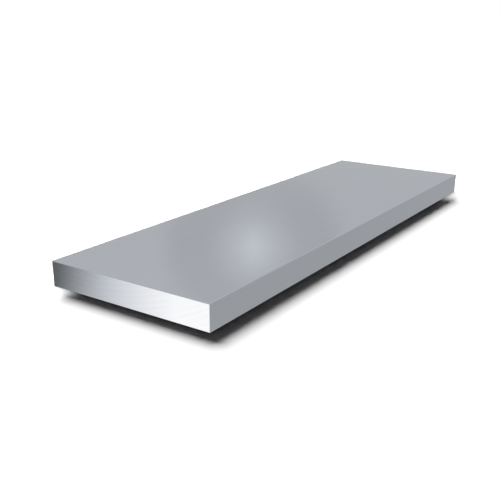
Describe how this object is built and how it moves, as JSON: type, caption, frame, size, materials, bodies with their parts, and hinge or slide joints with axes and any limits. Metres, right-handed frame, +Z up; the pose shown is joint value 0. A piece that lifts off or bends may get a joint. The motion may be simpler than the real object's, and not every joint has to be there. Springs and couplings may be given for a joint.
{
  "type": "metal flat bar",
  "caption": "Plain solid flat bar of cold-finished metal with square-cut ends and broken arrises, stock for straps, brackets, base plates and framing.",
  "frame": {"origin": "middle of the underside, on the surface that the bar lies on", "axes": "+X along the length, +Y across the width, +Z up through the thickness"},
  "size_m": [0.35, 0.11, 0.015],
  "materials": {
    "bright_steel": "bright drawn, fine satin, cool mid grey; cut ends a little brighter"
  },
  "bodies": {
    "root": {"flat_bar": "bright_steel"}
  },
  "joints": []
}
